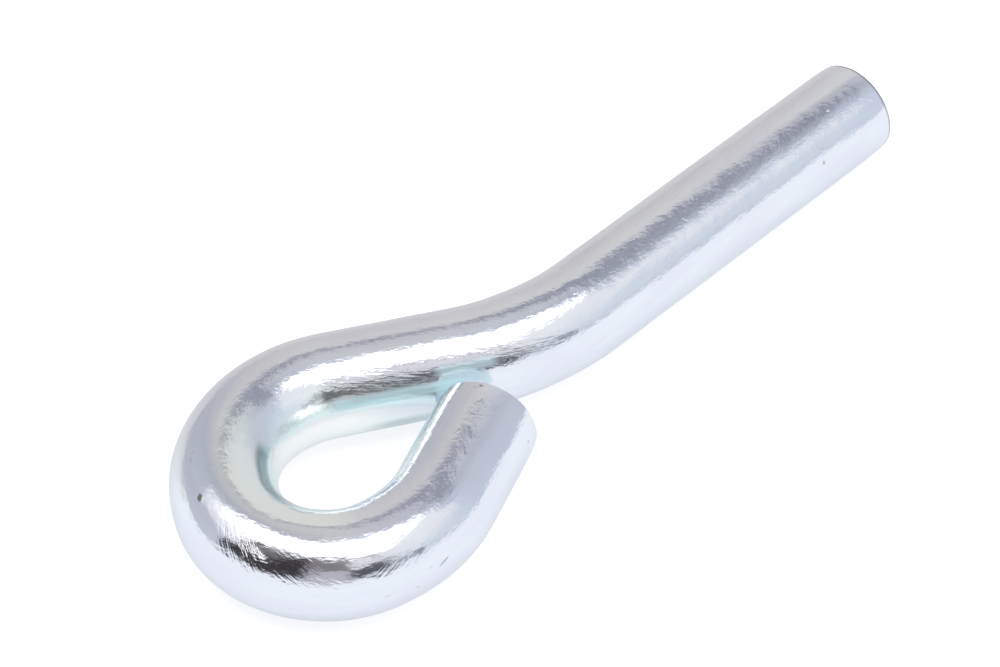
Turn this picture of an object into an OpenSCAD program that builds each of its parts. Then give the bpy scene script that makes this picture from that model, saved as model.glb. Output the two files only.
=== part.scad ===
// Bent cotter pin: one length of round steel rod, with a straight shank, a shallow reverse bend and a
// teardrop eye that is closed until its cut tip stands just clear of the neck.
// The rod's axis lies in the XY plane, so the pin rests flat. The shank runs along +X to its cut end, and
// the origin is on the shank's axis, where the straight shank ends and the reverse bend begins.

/* [Rod] */
// Diameter of the rod
rod_d = 10; // [8:0.5:12]
// Width of the broken edge round both cut ends
edge_break = 0.15; // [0.1:0.05:0.8]
// How much bending thins the rod: the loss of radius in every bend
bend_thinning = 0.02; // [0.01:0.005:0.1]

/* [Shank and neck] */
// Length of the straight shank, from the reverse bend to the cut end
shank_len = 39.5; // [30:0.5:80]
// Inside radius of the reverse bend between shank and neck
neck_bend_r = 23; // [15:1:40]
// Angle of the reverse bend
neck_bend_angle = 31; // [15:1:36]
// Length of the straight neck between the reverse bend and the eye
neck_len = 11.8; // [8:0.2:20]

/* [Eye] */
// Inside radius of the heel, the eye's first bend after the neck
heel_r = 7.5; // [5:0.25:10]
// Angle of the heel
heel_angle = 89; // [72:1:106]
// Length of the short straight between heel and crown
side_len = 0.6; // [0.5:0.1:4]
// Inside radius of the crown, the eye's tightest bend
crown_r = 4.2; // [3:0.2:6]
// Angle of the crown
crown_angle = 111; // [88:1:128]
// Length of the short straight between crown and toe
front_len = 0.6; // [0.5:0.1:4]
// Inside radius of the toe, the last bend before the tip
toe_r = 8.5; // [6:0.25:12]
// Angle of the toe
toe_angle = 33; // [26:1:40]
// Clearance between the tip and the neck
tip_gap = 0.4; // [0.2:0.05:1]

/* [Hidden] */
$fn = 96;

rod_r = rod_d / 2;
// How far the ends of a bend run on inside the straight stretches beside it
lap = 0.2;

// Radii of the bends, measured to the rod's axis
neck_axis_r = neck_bend_r + rod_r;
heel_axis_r = heel_r + rod_r;
crown_axis_r = crown_r + rod_r;
toe_axis_r = toe_r + rod_r;

// Direction of the axis after each bend of the eye, counted from the neck's direction
after_heel = heel_angle;
after_crown = after_heel + crown_angle;
after_toe = after_crown + toe_angle;

// Distance from the neck's axis to the far end of the toe, and to the centre of the tip's cut face
toe_reach = heel_axis_r * (1 - cos(after_heel))
    + side_len * sin(after_heel)
    + crown_axis_r * (cos(after_heel) - cos(after_crown))
    + front_len * sin(after_crown)
    + toe_axis_r * (cos(after_crown) - cos(after_toe));
tip_reach = rod_r + tip_gap + rod_r * abs(cos(after_toe));
// Length of the straight tip that leaves the clearance
tip_len = (toe_reach - tip_reach) / abs(sin(after_toe));

// A straight stretch from the origin along +X whose far end is cut square, with its edge broken
module cut_end(length) {
    rotate([90, 0, 90])
        rotate_extrude()
            polygon([
                [0, 0],
                [rod_r, 0],
                [rod_r, length - edge_break],
                [rod_r - edge_break, length],
                [0, length]
            ]);
}

// A straight stretch from the origin along +X, and what follows it
module straight_then(length) {
    rotate([90, 0, 90])
        cylinder(r = rod_r, h = length);
    translate([length, 0, 0])
        children();
}

// A bend to the left that leaves the origin along +X, and what follows it
module left_then(axis_r, angle) {
    lap_angle = atan(lap / axis_r);
    translate([0, axis_r, 0])
        rotate_extrude(angle = angle + 2 * lap_angle, start = -90 - lap_angle)
            translate([axis_r, 0])
                circle(r = rod_r - bend_thinning);
    translate([axis_r * sin(angle), axis_r * (1 - cos(angle)), 0])
        rotate([0, 0, angle])
            children();
}

// A bend to the right that leaves the origin along +X, and what follows it
module right_then(axis_r, angle) {
    mirror([0, 1, 0])
        left_then(axis_r, angle)
            mirror([0, 1, 0])
                children();
}

// The eye and its tip, from the origin along +X
module eye() {
    left_then(heel_axis_r, heel_angle)
        straight_then(side_len)
            left_then(crown_axis_r, crown_angle)
                straight_then(front_len)
                    left_then(toe_axis_r, toe_angle)
                        cut_end(tip_len);
}

module pin() {
    color([0.78, 0.79, 0.82]) {
        cut_end(shank_len);
        rotate([0, 0, 180])
            right_then(neck_axis_r, neck_bend_angle)
                straight_then(neck_len)
                    eye();
    }
}

pin();
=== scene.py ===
"""Dresses the bent cotter pin: a finely swept rod in bright zinc plate, on a white table in a soft studio."""
import logging
import math
from dataclasses import dataclass, field
from enum import Enum
from typing import Any

import bpy
import numpy as np
from mathutils import Matrix, Vector


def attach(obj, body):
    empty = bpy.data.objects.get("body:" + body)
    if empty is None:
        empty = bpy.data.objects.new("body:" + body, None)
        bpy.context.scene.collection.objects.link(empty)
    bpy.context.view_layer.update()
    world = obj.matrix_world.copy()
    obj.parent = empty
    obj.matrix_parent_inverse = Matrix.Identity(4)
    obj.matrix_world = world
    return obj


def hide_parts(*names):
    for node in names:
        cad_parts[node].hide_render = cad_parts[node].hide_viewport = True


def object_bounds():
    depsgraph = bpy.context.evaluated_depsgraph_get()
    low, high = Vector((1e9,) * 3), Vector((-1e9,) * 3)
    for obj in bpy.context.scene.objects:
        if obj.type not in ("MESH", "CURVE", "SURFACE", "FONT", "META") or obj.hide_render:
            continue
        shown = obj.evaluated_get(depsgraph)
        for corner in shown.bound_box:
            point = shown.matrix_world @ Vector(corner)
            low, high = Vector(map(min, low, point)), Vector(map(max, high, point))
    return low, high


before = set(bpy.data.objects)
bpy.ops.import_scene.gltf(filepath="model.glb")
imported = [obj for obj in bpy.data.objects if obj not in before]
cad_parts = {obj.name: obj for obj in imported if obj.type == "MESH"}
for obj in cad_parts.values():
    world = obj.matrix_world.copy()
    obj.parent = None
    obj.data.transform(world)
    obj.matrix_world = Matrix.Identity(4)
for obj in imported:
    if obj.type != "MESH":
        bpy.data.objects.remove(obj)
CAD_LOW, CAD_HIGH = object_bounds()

log = logging.getLogger("pin")

Tone = tuple[float, float, float]

WHITE = (1.0, 1.0, 1.0)
MM = 0.001
ROD_RADIUS = 5.0
FULL_TURN = 360.0
NOISE_MIDDLE = 0.5


class Way(Enum):
    """How a stretch of the rod runs on."""

    STRAIGHT = 0
    LEFT = 1
    RIGHT = -1


@dataclass(frozen=True)
class Stretch:
    """One stretch of the rod's axis: a straight of some length, or a bend of some radius and angle."""

    way: Way
    size: float
    angle: float = 0.0

    @property
    def curvature(self) -> float:
        """Signed curvature of the axis, per mm, positive to the left."""
        return 0.0 if self.way is Way.STRAIGHT else self.way.value / self.size

    @property
    def length(self) -> float:
        """Length of the stretch along the axis, in mm."""
        return self.size if self.way is Way.STRAIGHT else self.size * math.radians(self.angle)


@dataclass(frozen=True)
class RodSizes:
    """The rod's sizes in mm and degrees, as in the part itself. Bends are given by their inside radius."""

    radius: float = ROD_RADIUS
    shank: float = 39.5
    neck_bend: float = 23.0
    neck_angle: float = 31.0
    neck: float = 11.8
    heel: float = 7.5
    heel_angle: float = 89.0
    side: float = 0.6
    crown: float = 4.2
    crown_angle: float = 111.0
    front: float = 0.6
    toe: float = 8.5
    toe_angle: float = 33.0
    tip_gap: float = 0.4

    @property
    def tip(self) -> float:
        """The straight tip, which is as long as leaves the gap to the neck.

        Returns:
            Its length, in mm.
        """
        heel, crown, toe = (inside + self.radius for inside in (self.heel, self.crown, self.toe))
        after_heel = math.radians(self.heel_angle)
        after_crown = after_heel + math.radians(self.crown_angle)
        after_toe = after_crown + math.radians(self.toe_angle)
        reach = heel * (1 - math.cos(after_heel)) + self.side * math.sin(after_heel)
        reach += crown * (math.cos(after_heel) - math.cos(after_crown)) + self.front * math.sin(after_crown)
        reach += toe * (math.cos(after_crown) - math.cos(after_toe))
        stop = self.radius + self.tip_gap + self.radius * abs(math.cos(after_toe))
        return (reach - stop) / abs(math.sin(after_toe))

    def stretches(self) -> list[Stretch]:
        """The whole rod as a row of stretches.

        Returns:
            The stretches, from the shank's cut end to the tip's.
        """
        return [
            Stretch(Way.STRAIGHT, self.shank),
            Stretch(Way.RIGHT, self.neck_bend + self.radius, self.neck_angle),
            Stretch(Way.STRAIGHT, self.neck),
            Stretch(Way.LEFT, self.heel + self.radius, self.heel_angle),
            Stretch(Way.STRAIGHT, self.side),
            Stretch(Way.LEFT, self.crown + self.radius, self.crown_angle),
            Stretch(Way.STRAIGHT, self.front),
            Stretch(Way.LEFT, self.toe + self.radius, self.toe_angle),
            Stretch(Way.STRAIGHT, self.tip),
        ]


class Axis:
    """The rod's axis in the part's frame, in mm, read at any distance from the shank's cut end."""

    SLACK = 1e-9

    def __init__(self, sizes: RodSizes) -> None:
        """Lays the stretches end to end from the cut end of the shank.

        Args:
            sizes: The rod's sizes.
        """
        self.parts: list[tuple[float, float, float, float, Stretch]] = []
        x, y, heading, along = sizes.shank, 0.0, math.pi, 0.0
        for stretch in sizes.stretches():
            self.parts.append((along, x, y, heading, stretch))
            x, y, heading = self.step(x, y, heading, stretch.curvature, stretch.length)
            along += stretch.length
        self.length = along

    @staticmethod
    def step(x: float, y: float, heading: float, curvature: float, run: float) -> tuple[float, float, float]:
        """Moves along a line or an arc.

        Args:
            x: Place along X, in mm.
            y: Place along Y, in mm.
            heading: Direction of travel, in radians.
            curvature: Signed curvature, per mm.
            run: Distance to go, in mm.

        Returns:
            The new place and direction.
        """
        if curvature == 0.0:
            return x + math.cos(heading) * run, y + math.sin(heading) * run, heading
        turned = heading + curvature * run
        x += (math.sin(turned) - math.sin(heading)) / curvature
        y -= (math.cos(turned) - math.cos(heading)) / curvature
        return x, y, turned

    def at(self, along: float) -> tuple[float, float, float]:
        """Place and direction of the axis.

        Args:
            along: Distance from the shank's cut end, in mm.

        Returns:
            X and Y in mm, and the heading in radians.
        """
        start, x, y, heading, stretch = [part for part in self.parts if part[0] <= along + self.SLACK][-1]
        return self.step(x, y, heading, stretch.curvature, along - start)


class Wire:
    """A shader socket that takes part in sums, so that 1 - mask * 0.5 adds the Math nodes it needs."""

    def __init__(self, web: "Web", socket: Any) -> None:
        """Wraps a socket.

        Args:
            web: The node tree that it belongs to.
            socket: The output socket.
        """
        self.web = web
        self.socket = socket

    def math(self, operation: str, *values: "Wire | float", clamp: bool = False) -> "Wire":
        """One Math node on these values."""
        return self.web.node("ShaderNodeMath", {"operation": operation, "use_clamp": clamp}, *values)

    def __add__(self, other: "Wire | float") -> "Wire":
        """self + other."""
        return self.math("ADD", self, other)

    def __radd__(self, other: float) -> "Wire":
        """other + self."""
        return self.math("ADD", other, self)

    def __sub__(self, other: "Wire | float") -> "Wire":
        """self - other."""
        return self.math("SUBTRACT", self, other)

    def __rsub__(self, other: float) -> "Wire":
        """other - self."""
        return self.math("SUBTRACT", other, self)

    def __mul__(self, other: "Wire | float") -> "Wire":
        """self * other."""
        return self.math("MULTIPLY", self, other)

    def __rmul__(self, other: float) -> "Wire":
        """other * self."""
        return self.math("MULTIPLY", other, self)

    def __truediv__(self, other: "Wire | float") -> "Wire":
        """self / other."""
        return self.math("DIVIDE", self, other)

    def __rtruediv__(self, other: float) -> "Wire":
        """other / self."""
        return self.math("DIVIDE", other, self)

    def output(self, name: str) -> "Wire":
        """Another output of the same node."""
        return Wire(self.web, self.socket.node.outputs[name])

    def absolute(self) -> "Wire":
        """The value without its sign."""
        return self.math("ABSOLUTE", self)

    def at_least(self, floor: "Wire | float") -> "Wire":
        """The value, or the floor where that is higher."""
        return self.math("MAXIMUM", self, floor)

    def at_most(self, limit: "Wire | float") -> "Wire":
        """The value, or the limit where that is lower."""
        return self.math("MINIMUM", self, limit)

    def clamped(self) -> "Wire":
        """The value held between 0 and 1."""
        return self.math("ADD", self, 0.0, clamp=True)

    def rises(self, none: float, full: float) -> "Wire":
        """A smooth rise from 0 to 1.

        Args:
            none: The value at which it is still 0.
            full: The value from which on it is 1. The rise turns into a fall where this is the lower one.

        Returns:
            The height of the rise.
        """
        return self.web.node(
            "ShaderNodeMapRange",
            {"interpolation_type": "SMOOTHSTEP", "clamp": True},
            **{"Value": self, "From Min": none, "From Max": full},
        )


class Web:
    """A node tree that nodes are added to by type, settings and inputs."""

    def __init__(self, tree: Any) -> None:
        """Empties the tree.

        Args:
            tree: The node tree of a material or a world.
        """
        self.tree = tree
        tree.nodes.clear()

    def node(
        self,
        kind: str,
        settings: dict[str, Any] | None = None,
        *values: Any,
        out: str | int = 0,
        **named: Any,
    ) -> Wire:
        """Adds a node of any type.

        Args:
            kind: The node's type.
            settings: Properties that are set before the sockets. A ramp's stops are given as "stops".
            values: Numbers, colours or wires for the first input sockets, in order.
            out: Name or number of the output socket to hand back.
            named: Numbers, colours or wires for input sockets by name.

        Returns:
            The output, ready for use.
        """
        new = self.tree.nodes.new(kind)
        for name, value in (settings or {}).items():
            if name == "stops":
                self.set_stops(new.color_ramp, value)
            else:
                setattr(new, name, value)
        for key, value in [*enumerate(values), *named.items()]:
            socket = new.inputs[key]
            if isinstance(value, Wire):
                self.tree.links.new(value.socket, socket)
            else:
                socket.default_value = value
        return Wire(self, new.outputs[out] if new.outputs else None)

    @staticmethod
    def set_stops(ramp: Any, stops: list[tuple[float, Tone]]) -> None:
        """Gives a colour ramp its stops.

        Args:
            ramp: The ramp.
            stops: Each stop's place, from 0 to 1, and its colour.
        """
        while len(ramp.elements) < len(stops):
            ramp.elements.new(1.0)
        for element, (place, colour) in zip(ramp.elements, stops):
            element.position = place
            element.color = (*colour, 1.0)

    def mixed(self, share: Wire | float, first: Wire | Tone, second: Wire | Tone) -> Wire:
        """A colour between two colours.

        Args:
            share: How much of the second colour there is, from 0 to 1.
            first: The first colour.
            second: The second colour.

        Returns:
            The colour.
        """
        new = self.tree.nodes.new("ShaderNodeMix")
        new.data_type = "RGBA"
        sockets = {socket.identifier: socket for socket in new.inputs}
        for name, value in (("Factor_Float", share), ("A_Color", first), ("B_Color", second)):
            if isinstance(value, Wire):
                self.tree.links.new(value.socket, sockets[name])
            elif name == "Factor_Float":
                sockets[name].default_value = value
            else:
                sockets[name].default_value = (*value, 1.0)
        return Wire(self, {socket.identifier: socket for socket in new.outputs}["Result_Color"])

    def vector(self, operation: str, *values: Any, out: str | int = 0) -> Wire:
        """One Vector Math node."""
        return self.node("ShaderNodeVectorMath", {"operation": operation}, *values, out=out)

    def turned(self, place: Wire, facing: float) -> Wire:
        """Coordinates turned in plan, so that Y is straight ahead and X to the right.

        Args:
            place: The coordinates.
            facing: Direction of straight ahead, in plan, in radians.

        Returns:
            The X output of the turned coordinates, whose node also has Y and Z.
        """
        turned = self.node(
            "ShaderNodeVectorRotate",
            {"rotation_type": "Z_AXIS"},
            **{"Vector": place, "Angle": math.pi / 2 - facing},
        )
        return self.node("ShaderNodeSeparateXYZ", None, turned)

    def noise(self, place: Wire, scale: float, detail: float, rough: float) -> Wire:
        """A noise texture.

        Args:
            place: Coordinates.
            scale: Spots to a unit of the coordinates.
            detail: How many finer layers it has.
            rough: Strength of each finer layer.

        Returns:
            Its value, from 0 to 1 about its middle.
        """
        return self.node(
            "ShaderNodeTexNoise",
            {"noise_dimensions": "3D"},
            **{"Vector": place, "Scale": scale, "Detail": detail, "Roughness": rough},
        )


@dataclass(frozen=True)
class Rise:
    """A smooth change, from nothing at one value to its full share at another."""

    none: float
    full: float
    share: float = 1.0

    def of(self, value: Wire) -> Wire:
        """How far the change has gone at a value."""
        rise = value.rises(self.none, self.full)
        return rise if self.share == 1.0 else rise * self.share


@dataclass(frozen=True)
class Spot:
    """A small oblong on the skin.

    It has its place along the rod in mm and around it in degrees, its length and width in mm, and its slant
    to the rod in degrees.
    """

    along: float
    around: float
    length: float = 0.5
    width: float = 0.4
    slant: float = 0.0

    def local(self, web: Web, skin: Wire) -> Wire:
        """Coordinates in the spot: across it, out of the skin and along it, each 1 at the spot's edge.

        Args:
            web: The material's nodes.
            skin: The skin's straightened coordinates, in mm.

        Returns:
            The coordinates.
        """
        turn, lean = math.radians(self.around), math.radians(self.slant)
        out = Vector((math.cos(turn), math.sin(turn), 0.0))
        across = Vector((-math.sin(turn), math.cos(turn), 0.0))
        ahead = Vector((0.0, 0.0, 1.0))
        long_way = ahead * math.cos(lean) + across * math.sin(lean)
        wide_way = out.cross(long_way)
        facing = Matrix((wide_way, out, long_way)).transposed()
        return web.node(
            "ShaderNodeMapping",
            {"vector_type": "TEXTURE"},
            **{
                "Vector": skin,
                "Location": out * ROD_RADIUS + ahead * self.along,
                "Rotation": facing.to_euler(),
                "Scale": (self.width / 2, self.width, self.length / 2),
            },
        )


@dataclass(frozen=True)
class Mark(Spot):
    """A pit or a scratch: a spot with a share of its own colour, pressed in by its depth in mm.

    Its soft edge and the raggedness of its outline are in parts of its half width and half length.
    """

    strength: float = 0.8
    colour: Tone = (0.16, 0.15, 0.15)
    depth: float = 0.008

    EDGE = Rise(1.15, 0.55)
    RAGGEDNESS = 1.6

    def mask(self, web: Web, skin: Wire, ragged: Wire) -> Wire:
        """The mark's share of each point of the skin.

        Args:
            web: The material's nodes.
            skin: The skin's straightened coordinates, in mm.
            ragged: A fine noise that makes the mark's outline uneven.

        Returns:
            A value from 0 outside the mark to 1 in it.
        """
        away = web.vector("LENGTH", self.local(web, skin), out="Value")
        return self.EDGE.of(away + (ragged - NOISE_MIDDLE) * self.RAGGEDNESS)


@dataclass(frozen=True)
class Scuff(Spot):
    """A field of fine lines that the bending tool left: their height and their spacing, in mm."""

    height: float = 0.012
    gauge: float = 0.16
    stretch: float = 0.10

    EDGE = Rise(1.0, 0.45)
    DETAIL = 2.0
    ROUGH = 0.6

    def lift(self, web: Web, skin: Wire) -> Wire:
        """The height of the lines.

        Args:
            web: The material's nodes.
            skin: The skin's straightened coordinates, in mm.

        Returns:
            The height at each point, in mm.
        """
        local = self.local(web, skin)
        share = self.EDGE.of(web.vector("LENGTH", local, out="Value"))
        place = web.vector("MULTIPLY", local, (self.width / 2, 0.0, self.length / 2 * self.stretch))
        return web.noise(place, 1.0 / self.gauge, self.DETAIL, self.ROUGH) * share * self.height


PITS_AND_SCRATCHES = (
    Mark(87.9, 125, 0.70, 0.50, 25, 0.85, (0.17, 0.15, 0.12), 0.03),
    Mark(84.0, 124, 0.8, 0.3, 10, 0.30, (0.42, 0.42, 0.44)),
    Mark(83.3, 122, 0.5, 0.25, 60, 0.25, (0.42, 0.42, 0.44)),
    Mark(106.7, 170, 0.9, 0.28, -28, 0.50, (0.30, 0.29, 0.33)),
    Mark(105.6, 167, 0.5, 0.2, -20, 0.25, (0.45, 0.44, 0.47)),
    Mark(102.4, 179, 0.6, 0.2, -15, 0.35, (0.40, 0.36, 0.42)),
    Mark(104.4, 184, 0.7, 0.25, 40, 0.25, (0.50, 0.48, 0.50)),
    Mark(122.8, 85, 0.45, 0.4, 0, 0.60, (0.42, 0.25, 0.20)),
    Mark(122.5, 79, 0.3, 0.5, 0, 0.35, (0.55, 0.42, 0.36)),
    Mark(10.2, 23, 0.35, 0.35, 0, 0.60, (0.32, 0.32, 0.34)),
    Mark(9.7, 38, 0.9, 0.5, 20, 0.20, (0.52, 0.54, 0.60)),
    Mark(121.1, 167, 0.5, 0.35, 30, 0.45, (0.40, 0.38, 0.38)),
    Mark(23.8, 113, 1.0, 0.2, 18, 0.25, (0.45, 0.44, 0.46)),
    Mark(29.1, 109, 1.2, 0.2, 15, 0.25, (0.45, 0.44, 0.46)),
    Mark(34.1, 129, 0.5, 0.3, 0, 0.25, (0.48, 0.46, 0.46)),
    Mark(47.2, 109, 0.4, 0.3, 0, 0.25, (0.48, 0.46, 0.46)),
    Mark(119.3, 98, 1.1, 0.3, 75, 0.20, (0.45, 0.45, 0.50)),
    Mark(34.1, 29, 0.8, 0.3, 20, 0.20, (0.60, 0.62, 0.68)),
)
GLINTS = (
    Mark(6.4, 70, 0.40, 0.30, 0, 0.0, depth=0.035),
    Mark(42.6, 71, 0.55, 0.30, 10, 0.0, depth=0.035),
    Mark(43.5, 66, 0.35, 0.25, 0, 0.0, depth=0.030),
    Mark(41.7, 67, 0.30, 0.25, 0, 0.0, depth=0.030),
)
TOOL_SCUFFS = (
    Scuff(92.5, 130, 7.0, 4.0, 55, 0.050, 0.34),
    Scuff(97.5, 146, 7.0, 4.0, 40, 0.040, 0.30),
    Scuff(103.0, 154, 6.0, 3.5, -40, 0.040, 0.30),
    Scuff(63.0, 42, 16.0, 3.4, 12, 0.040, 0.26),
    Scuff(50.0, 46, 12.0, 2.6, 12, 0.030, 0.24),
    Scuff(80.0, 112, 7.0, 3.4, 20, 0.026, 0.30),
)


@dataclass(frozen=True)
class Cloud:
    """A noise over the plate: its scale round the rod, the share of that along the rod, and its layers."""

    scale: float
    along: float
    detail: float = 2.0
    rough: float = 0.5

    def value(self, web: Web, skin: Wire) -> Wire:
        """The noise at each point, from 0 to 1 about its middle."""
        place = web.vector("MULTIPLY", skin, (1.0, 1.0, self.along))
        return web.noise(place, self.scale, self.detail, self.rough)


@dataclass(frozen=True)
class Relief(Cloud):
    """One layer of unevenness in the plate, with how high it stands, in mm."""

    height: float = 0.01

    def lift(self, web: Web, skin: Wire) -> Wire:
        """The layer's height at each point, in mm."""
        return self.value(web, skin) * self.height


@dataclass(frozen=True)
class PlateToneAndPaintedLight:
    """A band of the plate's tone along one side of the rod, such as where it is clean, or a band of painted
    shade, painted reflection or painted highlight line.

    It runs between two distances along the rod, with soft ends, both in mm. It is centred at an angle round
    the rod and reaches some way to both sides, in degrees, and drifts round it by some degrees a mm. Its core
    is the part of that reach where it is whole. It has a colour and a share of it, and dulls the metal by a
    share as well. Angles round the rod run from its inner side in the eye over 90 at its top.
    """

    first: float
    last: float
    around: float
    reach: float
    colour: Tone
    share: float = 0.8
    soft: float = 5.0
    drift: float = 0.0
    dull: float = 0.0

    CORE = 0.4

    def mask(self, web: Web, skin: Wire) -> Wire:
        """The band's share of each point of the skin.

        Args:
            web: The material's nodes.
            skin: The skin's straightened coordinates, in mm.

        Returns:
            A value from 0 outside the band to its share in the middle.
        """
        out = web.node("ShaderNodeSeparateXYZ", None, skin)
        up, along = out.output("Y"), out.output("Z")
        angle = out.math("ARCTAN2", up, out) * math.degrees(1.0)
        off = angle - self.around - (along - (self.first + self.last) / 2) * self.drift
        ends = along.rises(self.first - self.soft, self.first) * along.rises(self.last + self.soft, self.last)
        return off.absolute().rises(self.reach, self.reach * self.CORE) * ends * self.share


# Bands of the plate's own tone, and bands of painted shade, painted reflection and a painted highlight line
PLATE_TONES_AND_PAINTED_LIGHT = (
    # The clean top of the crown, and the clean inner wall of the heel
    PlateToneAndPaintedLight(80.0, 99.0, 75.0, 32.0, (0.95, 1.00, 1.00), 0.95),
    PlateToneAndPaintedLight(66.0, 82.0, 5.0, 48.0, (1.00, 1.00, 1.00), 0.95),
    # On the neck, a grey line of painted shade below its inner side, and above it a painted reflection of the
    # tip's teal cut face
    PlateToneAndPaintedLight(57.5, 61.0, -32.0, 22.0, (0.60, 0.70, 0.71), 0.90, soft=4.0, dull=0.5),
    PlateToneAndPaintedLight(56.0, 66.0, 21.0, 9.0, (0.66, 0.86, 0.92), 0.95, soft=3.0, dull=0.6),
    # A lilac tone near the free end
    PlateToneAndPaintedLight(2.0, 12.0, 78.0, 12.0, (0.70, 0.72, 0.80), 0.70),
    # A painted reflection of the tip's teal cut face, on the neck beside the end of the tip
    PlateToneAndPaintedLight(52.5, 56.5, 37.0, 8.0, (0.66, 0.82, 0.86), 0.90, soft=1.5, dull=0.6),
    # Along the upper inner edge, painted reflections: a dark and a grey line on the crown, and a pale
    # highlight line on the tip
    PlateToneAndPaintedLight(83.0, 93.0, 47.2, 12.0, (0.40, 0.49, 0.48), 0.95, soft=2.5, drift=0.8),
    PlateToneAndPaintedLight(94.0, 99.0, 45.0, 17.0, (0.52, 0.60, 0.61), 0.90, soft=2.5, dull=0.5),
    PlateToneAndPaintedLight(111.0, 121.0, 49.0, 10.0, (0.95, 1.00, 1.00), 0.85, soft=3.0, dull=0.5),
)


@dataclass(frozen=True)
class ZincPlate:
    """Bright zinc plate on drawn steel: a blue-white metal, clouded, crinkled and lightly marked."""

    colour: Tone = (0.86, 0.89, 0.95)
    lilac: Tone = (0.82, 0.83, 0.92)
    lilac_share: Rise = Rise(0.36, 0.66, 0.8)
    warm: Tone = (0.89, 0.89, 0.90)
    warm_share: Rise = Rise(0.50, 0.74, 0.5)
    inner_teal: Tone = (0.88, 1.0, 0.99)
    cut_teal: Tone = (0.80, 0.95, 0.95)
    cut_metal: float = 0.4
    rim: Tone = (0.30, 0.30, 0.33)
    rim_share: Rise = Rise(0.45, 0.15, 0.75)
    edge_tint: Tone = (0.88, 0.89, 0.91)
    haze: Cloud = Cloud(scale=0.45, along=0.25, detail=3.0, rough=0.55)
    streaks: Cloud = Cloud(scale=2.2, along=0.06, detail=3.0, rough=0.6)
    smears: Cloud = Cloud(scale=2.4, along=0.5, detail=2.0, rough=0.6)
    roughness: float = 0.13
    haze_roughness: float = 0.08
    smear_roughness: float = 0.10
    cut_roughness: float = 0.30
    inner_roughness: float = 0.08
    mark_roughness: float = 0.3
    cut_relief: float = 1.5
    reliefs: tuple[Relief, ...] = (
        Relief(scale=1.9, along=0.55, height=0.029),
        Relief(scale=4.4, along=0.60, height=0.009, detail=1.0),
        Relief(scale=5.0, along=0.10, height=0.004),
    )
    scuffs: tuple[Scuff, ...] = TOOL_SCUFFS
    # Bands of the plate's own tone, and of painted shade, painted reflections and a painted highlight line
    tones_and_painted_light: tuple[PlateToneAndPaintedLight, ...] = PLATE_TONES_AND_PAINTED_LIGHT
    marks: tuple[Mark, ...] = PITS_AND_SCRATCHES + GLINTS

    def material(self) -> Any:
        """Makes the material.

        Returns:
            The Blender material.
        """
        made = bpy.data.materials.new("zinc_plate")
        made.use_nodes = True
        web = Web(made.node_tree)
        skin = web.node("ShaderNodeAttribute", {"attribute_name": "drawn"}, out="Vector")
        cut = web.node("ShaderNodeAttribute", {"attribute_name": "cut"}, out="Fac")
        inside = web.node("ShaderNodeAttribute", {"attribute_name": "inside"}, out="Fac")
        haze = self.haze.value(web, skin)
        smear = self.smears.value(web, skin)
        tint, metal = self.tint_and_metal(web, skin, haze, inside, cut)
        rough = self.roughness + (haze - NOISE_MIDDLE) * self.haze_roughness
        rough = rough + (smear - NOISE_MIDDLE) * self.smear_roughness
        rough = rough + cut * self.cut_roughness + inside * self.inner_roughness
        height = self.height(web, skin) * (1.0 + cut * self.cut_relief)
        for mark in self.marks:
            share = mark.mask(web, skin, smear)
            tone = share * mark.strength
            tint = web.mixed(tone, tint, mark.colour)
            rough = rough + tone * self.mark_roughness
            height = height - share * mark.depth
        normal = web.node("ShaderNodeBump", None, **{"Strength": 1.0, "Distance": MM, "Height": height})
        shade = web.node(
            "ShaderNodeBsdfPrincipled",
            None,
            **{
                "Base Color": tint,
                "Metallic": metal,
                "Roughness": rough.clamped(),
                "Specular Tint": (*self.edge_tint, 1.0),
                "Normal": normal,
            },
        )
        web.node("ShaderNodeOutputMaterial", None, shade)
        return made

    def tint_and_metal(self, web: Web, skin: Wire, haze: Wire, inside: Wire, cut: Wire) -> tuple[Wire, Wire]:
        """The plate's colour under its marks, with painted shade, reflections and a highlight line in some of
        its bands, and how metallic it is.

        Args:
            web: The material's nodes.
            skin: The skin's straightened coordinates, in mm.
            haze: The large soft clouds.
            inside: How far a point is on the wall inside the eye.
            cut: How far a point is on a cut face.

        Returns:
            The colour, and the share of metal.
        """
        along = web.node("ShaderNodeSeparateXYZ", None, skin).output("Z")
        tint = web.mixed(self.lilac_share.of(haze), self.colour, self.lilac)
        tint = web.mixed(self.warm_share.of(self.streaks.value(web, skin)), tint, self.warm)
        tint = web.mixed(inside, tint, self.inner_teal)
        metal = 1.0 - cut * (1.0 - self.cut_metal)
        # Bands of tone, some of them painted shade, painted reflections and a painted highlight line
        for band in self.tones_and_painted_light:
            share = band.mask(web, skin)
            tint = web.mixed(share, tint, band.colour)
            metal = metal * (1.0 - share * band.dull) if band.dull else metal
        tint = web.mixed(cut, tint, self.cut_teal)
        tint = web.mixed(self.rim_share.of(along) * (1.0 - cut), tint, self.rim)
        return tint, metal

    def height(self, web: Web, skin: Wire) -> Wire:
        """The plate's relief: all its layers and scuffs together.

        Args:
            web: The material's nodes.
            skin: The skin's straightened coordinates, in mm.

        Returns:
            The height at each point, in mm.
        """
        total = self.reliefs[0].lift(web, skin)
        for layer in (*self.reliefs[1:], *self.scuffs):
            total = total + layer.lift(web, skin)
        return total


class PointValue(Enum):
    """What a mesh keeps at each point: the name of its type, and of the property that holds it."""

    NUMBER = ("FLOAT", "value")
    VECTOR = ("FLOAT_VECTOR", "vector")


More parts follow.
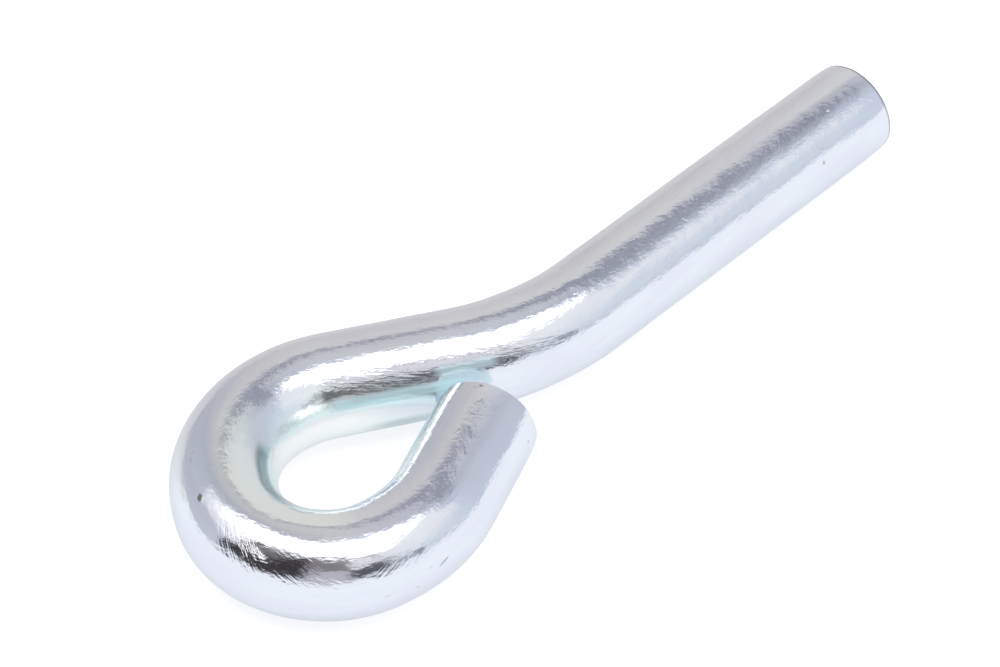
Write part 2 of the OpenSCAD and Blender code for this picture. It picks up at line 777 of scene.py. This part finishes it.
@dataclass
class Pin:
    """The rod itself: its skin swept along the axis, with both cut ends. Sizes are in mm.

    The skin lies a little inside the part's own surface, which leaves room for its waves. Close to the cut
    ends the shears rolled it in, and the edge of each cut face is rounded.
    """

    sizes: RodSizes = field(default_factory=RodSizes)
    finish: ZincPlate = field(default_factory=ZincPlate)
    sides: int = 144
    ring_step: float = 0.25
    face_steps: int = 10
    corner_steps: int = 8
    end_round: float = 0.14
    inset: float = 0.05
    roll: float = 0.09
    roll_length: float = 1.1
    wave: float = 0.008
    wave_count: int = 40
    wave_limit: float = 3.0
    wave_lengths: tuple[float, float] = (1.6, 6.0)
    wave_spread: tuple[float, float, float] = (1.0, 1.0, 0.6)
    seed: int = 11
    inner_start: float = 57.0
    inner_fade: float = 9.0
    inner_edge: float = 0.55
    inner_soft: float = 0.35

    def profile(self, axis: Axis) -> list[tuple[float, float, float]]:
        """The rod's half section from the centre of one cut face to the centre of the other.

        Args:
            axis: The rod's axis.

        Returns:
            Distance along the axis, radius, and how far it belongs to a cut face, from 0 to 1.
        """
        full, edge = self.sizes.radius - self.inset, self.end_round
        flat = full - self.roll - edge
        first = [(0.0, flat * k / self.face_steps, 1.0) for k in range(1, self.face_steps + 1)]
        for k in range(1, self.corner_steps):
            done = k / self.corner_steps
            turn = math.pi / 2 * done
            first.append((edge * (1 - math.cos(turn)), flat + edge * math.sin(turn), 1 - done))
        run = axis.length - 2 * edge
        count = max(2, round(run / self.ring_step))
        body = []
        for k in range(count + 1):
            along = edge + run * k / count
            depth = min(along, axis.length - along) - edge
            body.append((along, full - self.rolled(depth), 0.0))
        last = [(axis.length - along, radius, share) for along, radius, share in reversed(first)]
        return first + body + last

    def rolled(self, depth: float) -> float:
        """How far the shears rolled the skin in, in mm, at a depth behind the edge."""
        return self.roll * math.exp(-depth / self.roll_length)

    def build(self) -> Any:
        """Sweeps the skin and gives it its finish.

        Returns:
            The Blender object.
        """
        axis = Axis(self.sizes)
        along, radius, cut = np.array(self.profile(axis)).T
        place = np.array([axis.at(distance) for distance in along])
        turn = np.arange(self.sides) * 2 * math.pi / self.sides
        cos, sin = np.cos(turn), np.sin(turn)
        heading = place[:, 2, None]
        drawn = np.empty((len(along), self.sides, 3))
        drawn[..., 0] = radius[:, None] * cos
        drawn[..., 1] = radius[:, None] * sin
        drawn[..., 2] = along[:, None]
        reach = radius[:, None] + self.waves(drawn) * (radius / radius.max())[:, None]
        points = np.empty_like(drawn)
        points[..., 0] = place[:, 0, None] - np.sin(heading) * reach * cos
        points[..., 1] = place[:, 1, None] + np.cos(heading) * reach * cos
        points[..., 2] = reach * sin
        mesh = self.skin_mesh(points, place)
        centres = np.array([[0, 0, 0.0], [0, 0, axis.length]])
        inside = self.inside(along[:, None], cos)
        shares = np.repeat(cut, self.sides)
        self.add_field(mesh, "drawn", PointValue.VECTOR, np.vstack([drawn.reshape(-1, 3), centres]))
        self.add_field(mesh, "inside", PointValue.NUMBER, np.r_[inside.ravel(), 0.0, 0.0])
        self.add_field(mesh, "cut", PointValue.NUMBER, np.r_[shares, 1.0, 1.0])
        mesh.materials.append(self.finish.material())
        made = bpy.data.objects.new("bent_pin", mesh)
        bpy.context.scene.collection.objects.link(made)
        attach(made, "root")
        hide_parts("pin")
        return made

    def waves(self, drawn: np.ndarray) -> np.ndarray:
        """Soft unevenness of the drawn rod, as a sum of seeded waves in straightened coordinates.

        Args:
            drawn: Straightened coordinates, in mm.

        Returns:
            How far each point stands out, in mm, within a few times the mean height.
        """
        chance = np.random.default_rng(self.seed)
        total = np.zeros(drawn.shape[:2])
        for _ in range(self.wave_count):
            way = chance.normal(size=3) * self.wave_spread
            length = chance.uniform(*self.wave_lengths)
            way *= 2 * math.pi / length / np.linalg.norm(way)
            total += np.cos(drawn @ way + chance.uniform(0, 2 * math.pi))
        limit = self.wave_limit * self.wave
        return np.clip(total * self.wave * math.sqrt(2 / self.wave_count), -limit, limit)

    def inside(self, along: np.ndarray, cos: np.ndarray) -> np.ndarray:
        """How far a point is on the wall inside the eye, from 0 to 1.

        Args:
            along: Distance from the shank's cut end, in mm.
            cos: Cosine of the angle round the rod from its inner side.

        Returns:
            The share of each point.
        """
        begins = np.clip((along - self.inner_start) / self.inner_fade, 0, 1)
        faces = np.clip((cos - self.inner_edge) / self.inner_soft, 0, 1)
        return begins * faces * faces * (3 - 2 * faces)

    @staticmethod
    def skin_mesh(points: np.ndarray, place: np.ndarray) -> Any:
        """Joins the rings of points, and closes both ends at their centres.

        Args:
            points: Ring by ring points, in mm.
            place: The axis at each ring.

        Returns:
            The Blender mesh, in metres.
        """
        rings, sides, _ = points.shape
        first, last, end = rings * sides, rings * sides + 1, (rings - 1) * sides
        centres = np.array([[place[0, 0], place[0, 1], 0.0], [place[-1, 0], place[-1, 1], 0.0]])
        spots = np.vstack([points.reshape(-1, 3), centres]) * MM
        ring, side = np.meshgrid(np.arange(rings - 1), np.arange(sides), indexing="ij")
        here, next_ring, after = ring * sides, (ring + 1) * sides, (side + 1) % sides
        quads = np.stack([here + side, next_ring + side, next_ring + after, here + after], -1).reshape(-1, 4)
        fans = [(first, k, (k + 1) % sides) for k in range(sides)]
        fans += [(last, end + (k + 1) % sides, end + k) for k in range(sides)]
        mesh = bpy.data.meshes.new("bent_pin")
        mesh.from_pydata(spots.tolist(), [], quads.tolist() + fans)
        mesh.validate()
        mesh.shade_smooth()
        return mesh

    @staticmethod
    def add_field(mesh: Any, name: str, kind: PointValue, values: np.ndarray) -> None:
        """Stores a value at each point of a mesh.

        Args:
            mesh: The Blender mesh.
            name: Name of the attribute.
            kind: What it keeps.
            values: The values, point by point.
        """
        type_name, holder = kind.value
        layer = mesh.attributes.new(name, type_name, "POINT")
        layer.data.foreach_set(holder, np.ascontiguousarray(values, dtype=np.float32).ravel())


@dataclass(frozen=True)
class Viewpoint:
    """Where the camera stands.

    Angles are in degrees. The lens, the sensor and the aim on the table are in mm, other lengths in metres.
    """

    elevation: float = 43.93
    shank_heading: float = 46.59
    distance: float = 0.35955
    lens: float = 134.7
    sensor: float = 36.0
    nearest: float = 0.01
    farthest: float = 50.0
    aim: tuple[float, float] = (-4.83, 6.90)

    @property
    def facing(self) -> float:
        """Direction that the camera looks in, in plan, in radians from the part's +X."""
        return math.radians(90.0 - self.shank_heading)

    def place(self, table: float) -> Any:
        """Makes the camera.

        Args:
            table: Height of the table, in metres.

        Returns:
            The camera object.
        """
        data = bpy.data.cameras.new("camera")
        data.lens = self.lens
        data.sensor_width = self.sensor
        data.clip_start = self.nearest
        data.clip_end = self.farthest
        camera = bpy.data.objects.new("camera", data)
        rise = math.radians(self.elevation)
        plan = Vector((-math.cos(self.facing), -math.sin(self.facing), 0.0))
        back = plan * math.cos(rise) + Vector((0.0, 0.0, math.sin(rise)))
        target = Vector((self.aim[0] * MM, self.aim[1] * MM, table))
        camera.location = target + back * self.distance
        camera.rotation_mode = "QUATERNION"
        camera.rotation_quaternion = (-back).to_track_quat("-Z", "Y")
        bpy.context.scene.collection.objects.link(camera)
        bpy.context.scene.camera = camera
        return camera


@dataclass(frozen=True)
class FarSide:
    """The line in plan along which the table's painted shade starts, just behind the pin.

    It is in mm to the right and ahead of the part's origin, as the camera looks. From right to left, it
    follows the shank, stays level along the neck, comes back along the heel and slopes away past it.
    """

    shank_gap: float = 3.0
    neck_level: float = -13.0
    heel_gap: float = 20.0
    left_slope: float = -0.36
    left_level: float = -40.0

    def ahead(self, right: Wire) -> Wire:
        """How far ahead the line is, in mm, at a place to the right."""
        line = (right + self.shank_gap).at_least(self.neck_level).at_most(right + self.heel_gap)
        return line.at_least(right * self.left_slope + self.left_level)


@dataclass(frozen=True)
class Table:
    """A plain white table under the pin.

    The camera sees it as white, with the pin's shadow. In the metal it is brightest beside the pin and greyer
    far behind it, where painted shade stands for light that falls off. Its half width is in metres, and the
    change of tone is in mm.
    """

    half: float = 3.0
    colour: Tone = (0.90, 0.90, 0.90)
    near: Tone = (0.945, 0.97, 0.985)
    # The far tone is painted shade, seen only in the metal
    far: Tone = (0.71, 0.69, 0.665)
    fade: float = 16.0
    far_side: FarSide = FarSide()
    seen_glow: float = 1.55
    seen_share: float = 0.42
    mirrored_glow: float = 0.95
    mirrored_share: float = 0.78

    def build(self, facing: float) -> Any:
        """Lays the table.

        Args:
            facing: Direction that the camera looks in, in plan, in radians.

        Returns:
            The table object.
        """
        half, top = self.half, CAD_LOW.z
        corners = [(-half, -half, top), (half, -half, top), (half, half, top), (-half, half, top)]
        mesh = bpy.data.meshes.new("table")
        mesh.from_pydata(corners, [], [(0, 1, 2, 3)])
        table = bpy.data.objects.new("table", mesh)
        bpy.context.scene.collection.objects.link(table)
        made = bpy.data.materials.new("white_table")
        made.use_nodes = True
        web = Web(made.node_tree)
        # In the metal the tone turns to painted shade far behind the pin
        tone = web.mixed(self.behind(web, facing), self.near, self.far)
        matt = web.node("ShaderNodeBsdfDiffuse", None, (*self.colour, 1.0))
        glow = web.node("ShaderNodeEmission", None, (*WHITE, 1.0), self.seen_glow)
        seen = web.node("ShaderNodeMixShader", None, self.seen_share, matt, glow)
        matt = web.node("ShaderNodeBsdfDiffuse", None, tone)
        glow = web.node("ShaderNodeEmission", None, tone, self.mirrored_glow)
        mirrored = web.node("ShaderNodeMixShader", None, self.mirrored_share, matt, glow)
        ray = web.node("ShaderNodeLightPath", out="Is Camera Ray")
        both = web.node("ShaderNodeMixShader", None, ray, mirrored, seen)
        web.node("ShaderNodeOutputMaterial", None, both)
        mesh.materials.append(made)
        return table

    def behind(self, web: Web, facing: float) -> Wire:
        """How far the tone has gone over to the far one, the painted shade.

        Args:
            web: The material's nodes.
            facing: Direction that the camera looks in, in plan, in radians.

        Returns:
            A value from 0 beside the pin to 1 far behind it.
        """
        split = web.turned(web.node("ShaderNodeTexCoord", out="Object"), facing)
        right, ahead = split / MM, split.output("Y") / MM
        gap = (ahead - self.far_side.ahead(right)).at_least(0.0) / self.fade
        return 1.0 - 1.0 / (1.0 + gap * gap)


@dataclass(frozen=True)
class Patch:
    """A soft-edged field of one tone in the studio, by direction.

    Bearings run from 0 straight ahead of the camera over 90 at its right to 180 behind it. Rises are heights
    above the horizon. The field's middle line climbs by its slope with the bearing. All are in degrees.
    """

    left: float
    right: float
    low: float
    high: float
    tone: Tone
    soft: float = 3.0
    slope: float = 0.0
    share: float = 1.0

    def over(self, web: Web, colour: Wire, bearing: Wire, rise: Wire, ripple: Wire) -> Wire:
        """Lays the field over the colours so far.

        Args:
            web: The world's nodes.
            colour: The colours so far.
            bearing: Bearing of each direction.
            rise: Rise of each direction.
            ripple: An unevenness of the edges, in degrees.

        Returns:
            The colours with the field.
        """
        soft = self.soft
        side = bearing + ripple
        level = rise - (bearing - (self.left + self.right) / 2) * self.slope + ripple
        mask = side.rises(self.left - soft, self.left + soft)
        mask = mask * side.rises(self.right + soft, self.right - soft)
        mask = mask * level.rises(self.low - soft, self.low + soft)
        mask = mask * level.rises(self.high + soft, self.high - soft)
        return web.mixed(mask * self.share, colour, self.tone)


BEHIND_CAMERA = (
    # Two slanting stripes at the right
    Patch(94.0, 128.0, 12.5, 17.5, (0.50, 0.54, 0.62), soft=2.5, slope=0.26, share=0.5),
    Patch(115.0, 146.0, 16.6, 23.0, (0.15, 0.18, 0.21), soft=2.0, slope=0.26, share=0.9),
    # The dark room's right end, with a pale and a grey field above it
    Patch(126.0, 140.0, 16.0, 32.0, (0.32, 0.33, 0.35), soft=4.0, share=0.6),
    Patch(136.0, 168.0, 13.0, 34.5, (0.10, 0.10, 0.11), soft=3.0, slope=0.15),
    Patch(132.0, 168.0, 36.0, 47.5, (0.76, 0.74, 0.75), soft=2.5),
    Patch(132.0, 168.0, 47.5, 58.0, (0.48, 0.46, 0.48), soft=4.0),
    # The dark room itself, the grey strip above it and its two paler parts
    Patch(163.0, 256.0, 15.0, 59.0, (0.045, 0.04, 0.042), soft=2.5),
    Patch(158.0, 252.0, 57.5, 64.5, (0.50, 0.49, 0.50), soft=4.0),
    Patch(163.0, 197.0, 32.0, 58.0, (0.24, 0.22, 0.23), soft=4.0),
    Patch(215.0, 254.0, 44.0, 58.0, (0.22, 0.20, 0.20), soft=4.0, share=0.8),
    # A grey block low at the room's right, and a bright streak at its left
    Patch(163.0, 195.0, 7.0, 33.0, (0.53, 0.52, 0.55), soft=2.0),
    Patch(225.0, 263.0, 37.5, 43.5, (1.60, 1.55, 1.50), soft=2.2, slope=0.30),
)


class Measure(Enum):
    """What the edge of a field on the ceiling is measured by, in units of the ceiling's height."""

    ACROSS = "distance to the right"
    BESIDE = "distance to either side"
    AWAY = "distance ahead"
    PAST_LINE = "distance past the slanting line"
    OFF_LINE = "distance from the slanting line"
    IN_LIGHT = "depth inside the light's far edge"
    IN_RIM = "depth inside the rim's far edge"


@dataclass(frozen=True)
class CeilingField:
    """A field on the ceiling: its share, and each of its soft edges as a measure and a rise."""

    share: float
    edges: tuple[tuple[Measure, Rise], ...]

    def mask(self, measures: dict[Measure, Wire]) -> Wire:
        """The field's share of each direction.

        Args:
            measures: The measures of each direction.

        Returns:
            A value from 0 outside the field to its share in the middle.
        """
        total: Wire | float = self.share
        for measure, rise in self.edges:
            total = rise.of(measures[measure]) * total
        return total


@dataclass(frozen=True)
class Ceiling:
    """The ceiling, a plane one unit up: a soft light with a dimmer rim, and violet shades past its far edge.

    The shades lie along a line that slants back to the right. The light's far edge moves away by steps.
    """

    violet: Tone = (0.29, 0.30, 0.36)
    line_slant: float = 0.70
    line_start: float = 0.86
    skirt: CeilingField = CeilingField(
        0.20,
        (
            (Measure.AWAY, Rise(1.12, 0.92)),
            (Measure.ACROSS, Rise(-0.9, -0.5)),
            (Measure.ACROSS, Rise(1.1, 0.4)),
        ),
    )
    shade: CeilingField = CeilingField(
        1.0,
        (
            (Measure.OFF_LINE, Rise(0.15, 0.06)),
            (Measure.ACROSS, Rise(-0.30, 0.10)),
            (Measure.ACROSS, Rise(1.10, 0.35)),
        ),
    )
    haze: CeilingField = CeilingField(
        0.15,
        (
            (Measure.PAST_LINE, Rise(-0.40, -0.05)),
            (Measure.PAST_LINE, Rise(0.10, 0.0)),
            (Measure.ACROSS, Rise(-0.6, 0.1)),
            (Measure.ACROSS, Rise(1.0, 0.3)),
        ),
    )
    rim: CeilingField = CeilingField(
        1.0,
        (
            (Measure.IN_RIM, Rise(-0.15, 0.15)),
            (Measure.ACROSS, Rise(-1.9, -1.1)),
            (Measure.ACROSS, Rise(2.2, 1.0)),
            (Measure.BESIDE, Rise(0.3, 0.8)),
        ),
    )
    light: CeilingField = CeilingField(
        1.0,
        (
            (Measure.IN_LIGHT, Rise(-0.11, 0.09)),
            (Measure.ACROSS, Rise(-1.2, -0.8)),
            (Measure.ACROSS, Rise(0.72, 0.47)),
        ),
    )
    rim_level: float = 0.90
    light_level: float = 2.2
    side_dimming: Rise = Rise(-0.35, -0.8, -1.05)
    far_edge: float = 0.08
    far_steps: tuple[Rise, ...] = (Rise(-0.05, -0.35, 0.24), Rise(-0.35, -0.80, 0.18), Rise(0.18, 0.36, 0.11))
    rim_width: float = 0.02
    rim_step: Rise = Rise(0.2, -0.2, 0.18)

    def over(self, web: Web, colour: Wire, across: Wire, away: Wire) -> Wire:
        """Lays the ceiling over the walls.

        Args:
            web: The world's nodes.
            colour: The walls' colours.
            across: Distance to the right in the ceiling's plane.
            away: Distance ahead in the ceiling's plane.

        Returns:
            The colours with the ceiling.
        """
        line = away + across * self.line_slant - self.line_start
        edge = self.far_edge + self.far_steps[0].of(across)
        for step in self.far_steps[1:]:
            edge = edge + step.of(across)
        measures = {
            Measure.ACROSS: across,
            Measure.BESIDE: across.absolute(),
            Measure.AWAY: away,
            Measure.PAST_LINE: line,
            Measure.OFF_LINE: line.absolute(),
            Measure.IN_LIGHT: edge - away,
            Measure.IN_RIM: edge + self.rim_width + self.rim_step.of(across) - away,
        }
        for shadow in (self.skirt, self.shade, self.haze):
            colour = web.mixed(shadow.mask(measures), colour, self.violet)
        colour = web.mixed(self.rim.mask(measures), colour, (self.rim_level,) * 3)
        level = self.light_level + self.side_dimming.of(across)
        light = web.node("ShaderNodeCombineXYZ", None, level, level, level)
        return web.mixed(self.light.mask(measures), colour, light)


@dataclass(frozen=True)
class Studio:
    """What the metal sees above the table, by direction: walls, ceiling and what stands behind the camera.

    The walls' tones are by bearing, in degrees. On the camera's side a white sheet rises from the table,
    with soft ends and one step in its height, also in degrees.
    """

    walls: tuple[tuple[float, Tone], ...] = (
        (0.0, (0.71, 0.69, 0.67)),
        (30.0, (0.70, 0.71, 0.72)),
        (48.0, (0.55, 0.565, 0.61)),
        (75.0, (0.60, 0.645, 0.735)),
        (100.0, (0.72, 0.77, 0.83)),
        (140.0, (0.78, 0.82, 0.85)),
        (262.0, (0.60, 0.62, 0.67)),
        (290.0, (0.57, 0.58, 0.63)),
        (325.0, (0.49, 0.51, 0.55)),
        (345.0, (0.62, 0.60, 0.59)),
        (360.0, (0.71, 0.69, 0.67)),
    )
    ceiling: Ceiling = Ceiling()
    ceiling_lowest: float = 0.02
    patches: tuple[Patch, ...] = BEHIND_CAMERA
    ripple: float = 14.0
    ripple_scale: float = 9.0
    ripple_detail: float = 3.0
    ripple_rough: float = 0.6
    sheet: Tone = (0.96, 0.98, 1.0)
    sheet_right: Rise = Rise(60.0, 115.0)
    sheet_left: Rise = Rise(285.0, 235.0)
    sheet_height: float = 8.5
    sheet_step: Rise = Rise(175.0, 200.0, 4.0)
    sheet_edge: Rise = Rise(1.5, -1.5)
    room_fill: float = 0.6

    def build(self, facing: float) -> None:
        """Lights the studio.

        Args:
            facing: Direction that the camera looks in, in plan, in radians.
        """
        world = bpy.data.worlds.new("studio")
        bpy.context.scene.world = world
        world.use_nodes = True
        web = Web(world.node_tree)
        way = web.node("ShaderNodeTexCoord", out="Generated")
        right = web.turned(way, facing)
        ahead, up = right.output("Y"), right.output("Z")
        rise = up.math("ARCSINE", up) * math.degrees(1.0)
        bearing = right.math("ARCTAN2", right, ahead) * math.degrees(1.0)
        bearing = bearing.math("WRAP", bearing, FULL_TURN, 0.0)
        stops = [(place / FULL_TURN, tone) for place, tone in self.walls]
        colour = web.node("ShaderNodeValToRGB", {"stops": stops}, bearing / FULL_TURN)
        over = up.at_least(self.ceiling_lowest)
        colour = self.ceiling.over(web, colour, right / over, ahead / over)
        ripple = web.noise(way, self.ripple_scale, self.ripple_detail, self.ripple_rough)
        ripple = (ripple - NOISE_MIDDLE) * self.ripple
        for patch in self.patches:
            colour = patch.over(web, colour, bearing, rise, ripple)
        height = self.sheet_height + self.sheet_step.of(bearing)
        top = self.sheet_right.of(bearing) * self.sheet_left.of(bearing) * height
        colour = web.mixed(self.sheet_edge.of(rise - top), colour, self.sheet)
        seen = web.node("ShaderNodeLightPath", out="Is Camera Ray")
        colour = web.mixed(seen, colour, WHITE)
        strength = 1.0 + seen.output("Is Diffuse Ray") * self.room_fill
        shade = web.node("ShaderNodeBackground", None, colour, strength)
        web.node("ShaderNodeOutputWorld", None, shade)


def main() -> None:
    """Builds the camera, the table, the studio and the pin."""
    logging.basicConfig(level=logging.INFO, format="%(name)s: %(message)s")
    bpy.context.scene.view_settings.view_transform = "Standard"
    view = Viewpoint()
    view.place(CAD_LOW.z)
    table = Table().build(view.facing)
    log.info("%s: %d face", table.name, len(table.data.polygons))
    studio = Studio()
    studio.build(view.facing)
    log.info("studio: %d patches", len(studio.patches))
    made = Pin().build()
    log.info("%s: %d faces", made.name, len(made.data.polygons))


if __name__ == "__main__":
    main()
